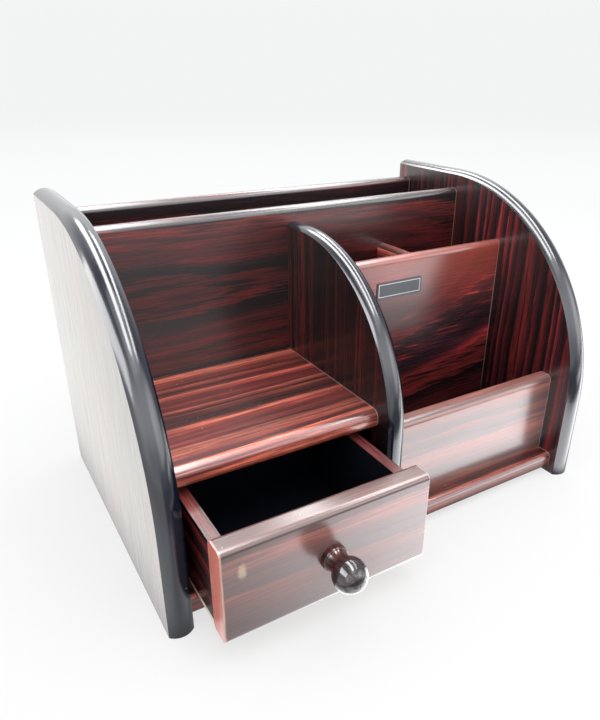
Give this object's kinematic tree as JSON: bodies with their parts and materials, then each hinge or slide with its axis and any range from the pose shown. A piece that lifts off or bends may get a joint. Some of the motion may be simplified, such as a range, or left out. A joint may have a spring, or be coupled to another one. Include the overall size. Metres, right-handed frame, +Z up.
{
  "type": "desktop organizer",
  "caption": "Desktop organizer of dark wood-look boards between round-fronted sides, with a letter slot, pen bays, a front bay, a shelf and a small drawer.",
  "frame": {"origin": "middle of the whole object's footprint, on the surface it stands on, with the drawer standing open as at rest", "axes": "+X to the user's right, +Y to the back, +Z up; the drawer opens along -Y"},
  "size_m": [0.265, 0.2237, 0.1725],
  "materials": {
    "rosewood_foil": "gloss",
    "black_edging": "gloss",
    "turned_wood": "gloss",
    "hardboard": "satin",
    "plate_plastic": "gloss",
    "dowel_beech": "matte",
    "zinc_steel": "satin"
  },
  "bodies": {
    "cabinet": {"back_panel": "rosewood_foil", "base_board": "rosewood_foil", "drawer_shelf": "rosewood_foil", "left_edge_trim": "black_edging", "left_side_panel": "rosewood_foil", "low_front_panel": "rosewood_foil", "middle_partition": "rosewood_foil", "name_plate": "plate_plastic", "panel_dowels": "dowel_beech", "partition_edge_trim": "black_edging", "pen_divider": "rosewood_foil", "pen_panel": "rosewood_foil", "right_edge_trim": "black_edging", "right_side_panel": "rosewood_foil", "tall_divider": "rosewood_foil"},
    "drawer": {"drawer_front": "rosewood_foil", "drawer_left_side": "rosewood_foil", "drawer_right_side": "rosewood_foil", "drawer_back": "rosewood_foil", "drawer_bottom": "hardboard", "drawer_knob": "turned_wood", "knob_screw": "zinc_steel", "drawer_dowels": "dowel_beech", "drawer_back_pins": "zinc_steel", "bottom_brads": "zinc_steel"}
  },
  "joints": [
    {"name": "drawer_slide", "type": "slide", "parent": "cabinet", "child": "drawer", "axis": [0, -1, 0], "range_m": [-0.045, 0.035]}
  ]
}
